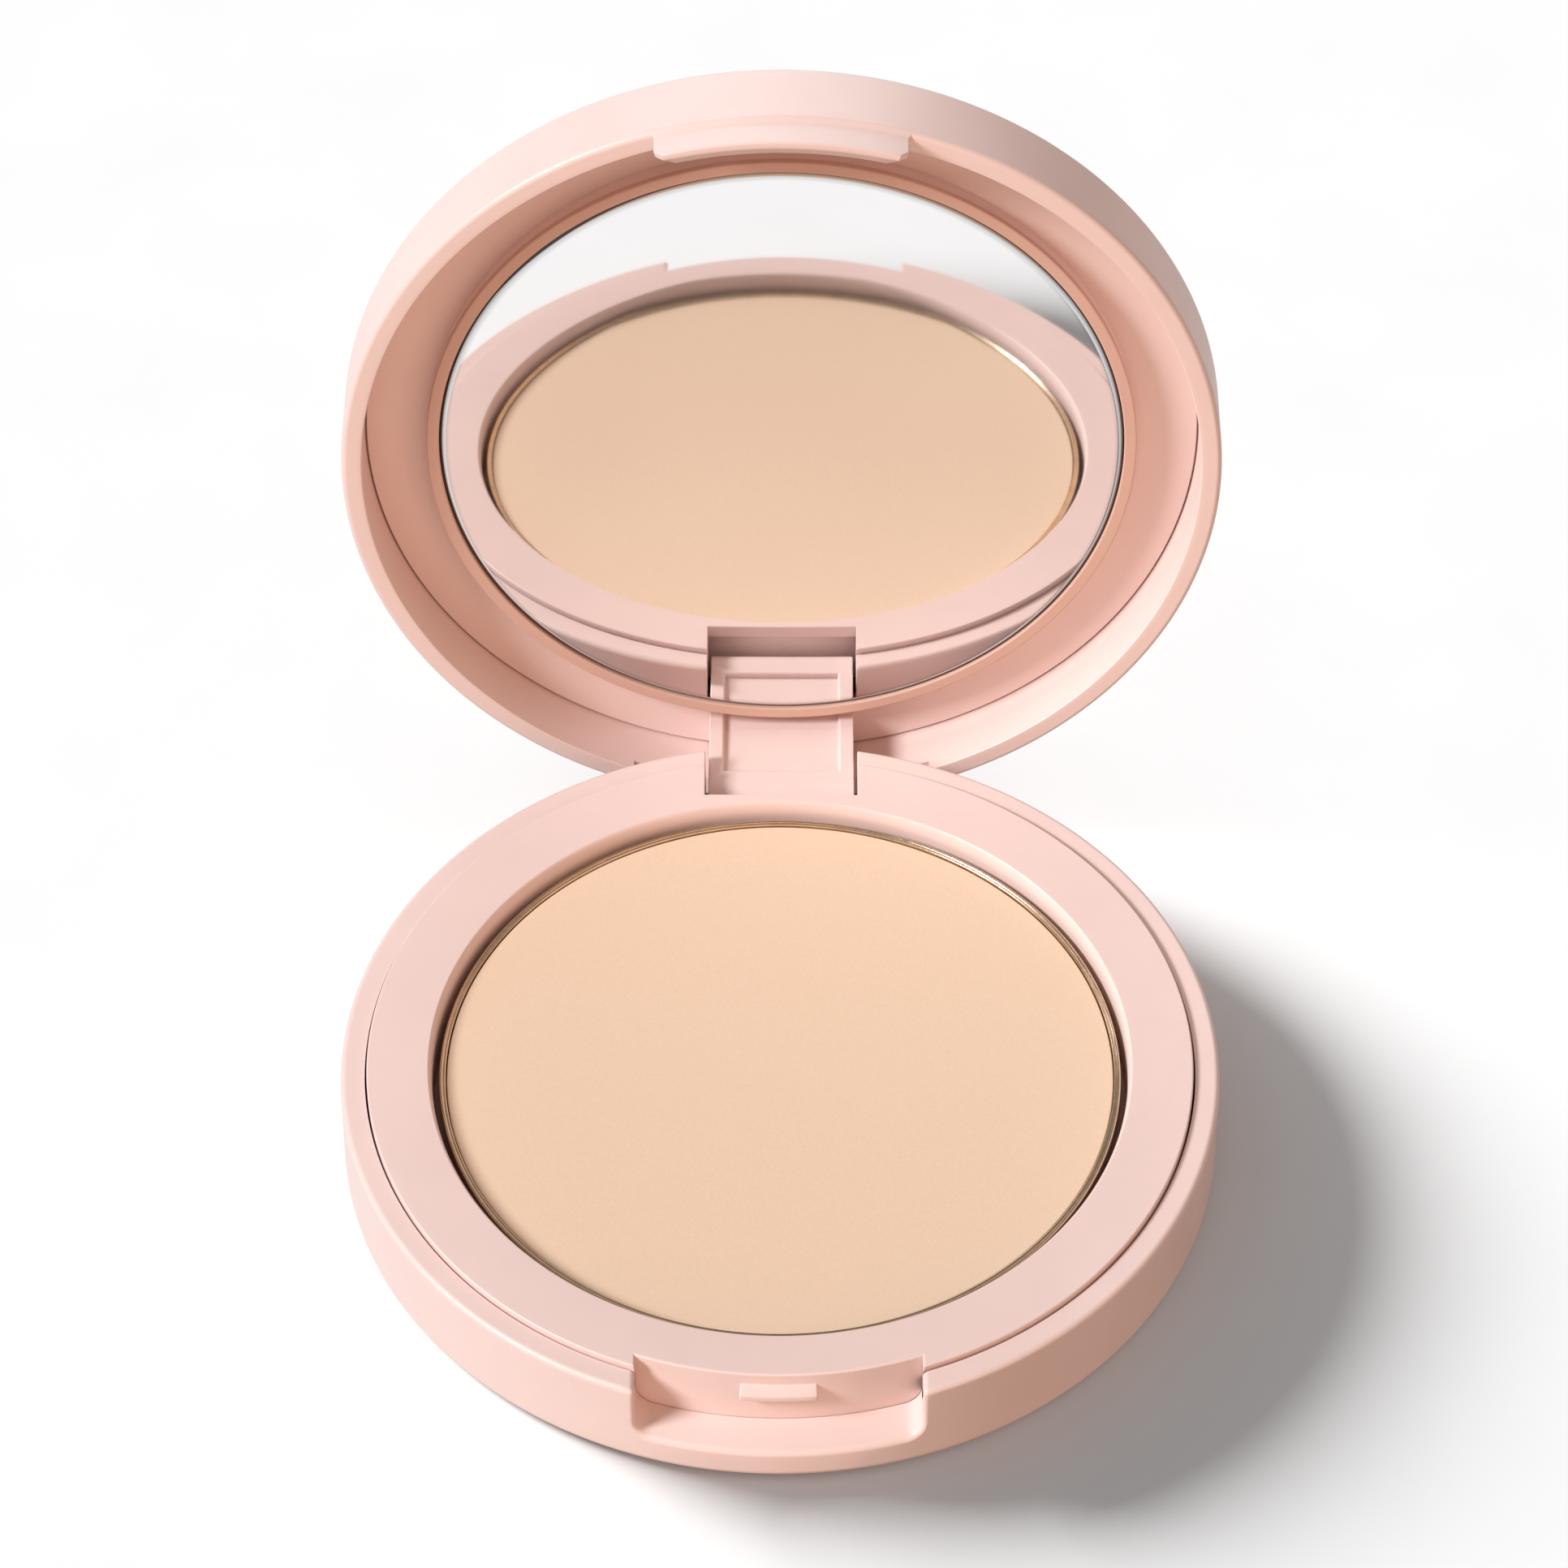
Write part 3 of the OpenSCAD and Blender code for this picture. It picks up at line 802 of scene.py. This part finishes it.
def mirror_silver():
    """Reflecting silver with a faint cloud and painted shade that darkens it towards its rim beside the
    bezel.
    """
    material, tree, shader = new_material("mirror_silver")
    coords = tree.nodes.new("ShaderNodeTexCoord")
    distance = tree.nodes.new("ShaderNodeVectorMath")
    distance.operation = "DISTANCE"
    distance.inputs[1].default_value = OPENED @ Vector((0, 0, MIRROR_Z)) * MM
    tree.links.new(coords.outputs["Object"], distance.inputs[0])
    # Painted shade: the base colour darkens over the outer 0.8 mm of the glass, standing in for the bezel's
    # shadow on the mirror's rim
    edge = map_range(tree, distance.outputs["Value"], (MIRROR_R - 0.8) * MM, MIRROR_R * MM, 0, 1)
    painted_edge_shade = ramp(tree, edge, [(0, (1, 1, 1)), (0.55, (0.72, 0.72, 0.72)), (1, (0.12, 0.11, 0.11))])
    cloud = ramp(tree, noise(tree, 40, 1), [(0.3, (0.9, 0.885, 0.885)), (0.7, (0.93, 0.925, 0.925))])
    both = tree.nodes.new("ShaderNodeMix")
    both.data_type = "RGBA"
    both.blend_type = "MULTIPLY"
    both.inputs["Factor"].default_value = 1.0
    tree.links.new(cloud, both.inputs["A"])
    tree.links.new(painted_edge_shade, both.inputs["B"])
    tree.links.new(both.outputs["Result"], shader.inputs["Base Color"])
    shader.inputs["Metallic"].default_value = 1.0
    shader.inputs["Roughness"].default_value = 0.03
    return material


def plain_finish(name, colour, roughness, metallic=0.0, grain=3000, depth=3e-6):
    """Small hidden parts: a tint with fine grain."""
    material, tree, shader = new_material(name)
    tint = two_tone(tree, noise(tree, grain / 4, 3), colour, 0.94, 1.04)
    tree.links.new(tint, shader.inputs["Base Color"])
    shader.inputs["Roughness"].default_value = roughness
    shader.inputs["Metallic"].default_value = metallic
    bump(tree, shader, noise(tree, grain, 3), depth, 0.5)
    return material


def dress(piece, material):
    piece.data.materials.clear()
    piece.data.materials.append(material)


# ---------------------------------------------------------------- the pieces

def make_pin():
    pin = rod("hinge_pin_visual", PIN_R, -PIN_HALF_L, PIN_HALF_L, end_round=0.2)
    shade(pin)
    return pin


PIN_STEEL = plain_finish("pin_steel_blackened", (0.03, 0.028, 0.028), 0.5, metallic=0.6)
MADE = [
    (make_base_shell, "base", "base_shell", "pink_plastic", PINK_PLASTIC),
    (make_inner_tray, "base", "inner_tray", "pink_plastic", PINK_PLASTIC),
    (make_catch_nub, "base", "inner_tray", "pink_plastic", PINK_PLASTIC),
    (make_pan, "base", "powder_pan", "champagne_metal", champagne_metal()),
    (make_powder, "base", "powder_cake", "pressed_powder", pressed_powder()),
    (make_pin, "base", "hinge_pin", "pin_steel", PIN_STEEL),
    (make_lid_shell, "lid", "lid_shell", "pink_plastic", PINK_PLASTIC),
    (make_lid_liner, "lid", "lid_liner", "pink_plastic", PINK_PLASTIC),
    (make_bezel, "lid", "mirror_bezel", "tan_plastic", TAN_PLASTIC),
    (make_mirror, "lid", "mirror_glass", "mirror_glass", mirror_silver()),
]
pieces = []
bodies = []
for make, body, node, slot, material in MADE:
    piece = make()
    dress(piece, material)
    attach(piece, body)
    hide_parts(node)
    pieces.append(piece)
    bodies.append(body)


CARRIED = {
    "pan_adhesive": plain_finish("adhesive_hot_melt", (0.82, 0.8, 0.74), 0.5),
    "mirror_tape": plain_finish("adhesive_foam_tape", (0.84, 0.84, 0.82), 0.8),
    "mirror_backing": plain_finish("silvering_grey_paint", (0.5, 0.5, 0.52), 0.55),
    "bottom_label": plain_finish("label_paper", (0.86, 0.8, 0.78), 0.7),
}
for node, material in CARRIED.items():
    for material_slot in frame["nodes"][node].material_slots:
        material_slot.material = material

# ---------------------------------------------------------------- floor, camera and light

CAMERA_PLACE = Vector((0.0015, -0.3893, 0.4620))
CAMERA_PITCH = 47.0
CAMERA_YAW = 0.17
LENS = 158.43
SENSOR = 36.0
WORLD_POWER = 0.2
WHITE = (1, 1, 1)
WARM = (1, 0.58, 0.36)
# Soft suns: name, direction they shine from, power, spread in degrees, colour
OBJECT_SUNS = [
    ("key_sun", (-0.74, -0.31, 0.63), 3.3, 18, WHITE),
    ("fill_sun", (0.4, -0.75, 0.1), 1.7, 110, WARM),
    ("back_sun", (0, 0.9, 0.35), 1.1, 40, WHITE),
]
FLOOR_SUNS = [
    ("floor_sun", (-0.85, 0.46, 0.38), 7.0, 24, WHITE),
    ("floor_fill", (0, 0, 1), 0.35, 150, WHITE),
]


def make_floor():
    half = 2.0
    mesh = bpy.data.meshes.new("floor")
    corners = [(-half, -half, 0), (half, -half, 0), (half, half, 0), (-half, half, 0)]
    mesh.from_pydata(corners, [], [(0, 1, 2, 3)])
    floor = bpy.data.objects.new("floor", mesh)
    bpy.context.scene.collection.objects.link(floor)
    material, tree, shader = new_material("floor_pale")
    tint = two_tone(tree, noise(tree, 60, 2), (0.88, 0.88, 0.88), 0.99, 1.01)
    tree.links.new(tint, shader.inputs["Base Color"])
    shader.inputs["Roughness"].default_value = 0.9
    shader.inputs["Specular IOR Level"].default_value = 0.0
    dress(floor, material)
    floor.visible_diffuse = False  # no bounced light on the object's lower walls
    return floor


def make_camera():
    data = bpy.data.cameras.new("camera")
    data.lens = LENS
    data.sensor_width = SENSOR
    data.clip_start = 0.01
    camera = bpy.data.objects.new("camera", data)
    camera.location = CAMERA_PLACE
    camera.rotation_euler = (math.radians(90 - CAMERA_PITCH), 0, math.radians(CAMERA_YAW))
    bpy.context.scene.collection.objects.link(camera)
    bpy.context.scene.camera = camera


def aim(light, direction):
    """Points a light so that it shines from the given direction."""
    light.rotation_euler = Vector(direction).to_track_quat("Z", "Y").to_euler()


def sun_light(name, direction, power, spread, colour, receivers, blockers=None):
    """A soft light from far away that reaches the given objects and is shaded by the blockers."""
    data = bpy.data.lights.new(name, "SUN")
    data.energy = power
    data.angle = math.radians(spread)
    data.color = colour
    light = bpy.data.objects.new(name, data)
    aim(light, direction)
    bpy.context.scene.collection.objects.link(light)
    light.light_linking.receiver_collection = linked_set(name + "_receivers", receivers)
    if blockers:
        light.light_linking.blocker_collection = linked_set(name + "_blockers", blockers)


def linked_set(name, objects):
    group = bpy.data.collections.new(name)
    for thing in objects:
        group.objects.link(thing)
    return group


def make_light(floor):
    world = bpy.data.worlds.new("studio")
    bpy.context.scene.world = world
    world.use_nodes = True
    world.node_tree.nodes["Background"].inputs["Color"].default_value = (1, 1, 1, 1)
    world.node_tree.nodes["Background"].inputs["Strength"].default_value = WORLD_POWER
    shown = pieces + [frame["nodes"][n] for n in CARRIED]
    for sun in OBJECT_SUNS:
        sun_light(*sun, shown)
    # Only the base shades the floor: the open lid casts no shadow there
    standing = [piece for piece, body in zip(pieces, bodies) if body == "base"]
    for sun in FLOOR_SUNS:
        sun_light(*sun, [floor], standing)


floor = make_floor()
make_camera()
make_light(floor)
bpy.context.scene.view_settings.view_transform = "Standard"
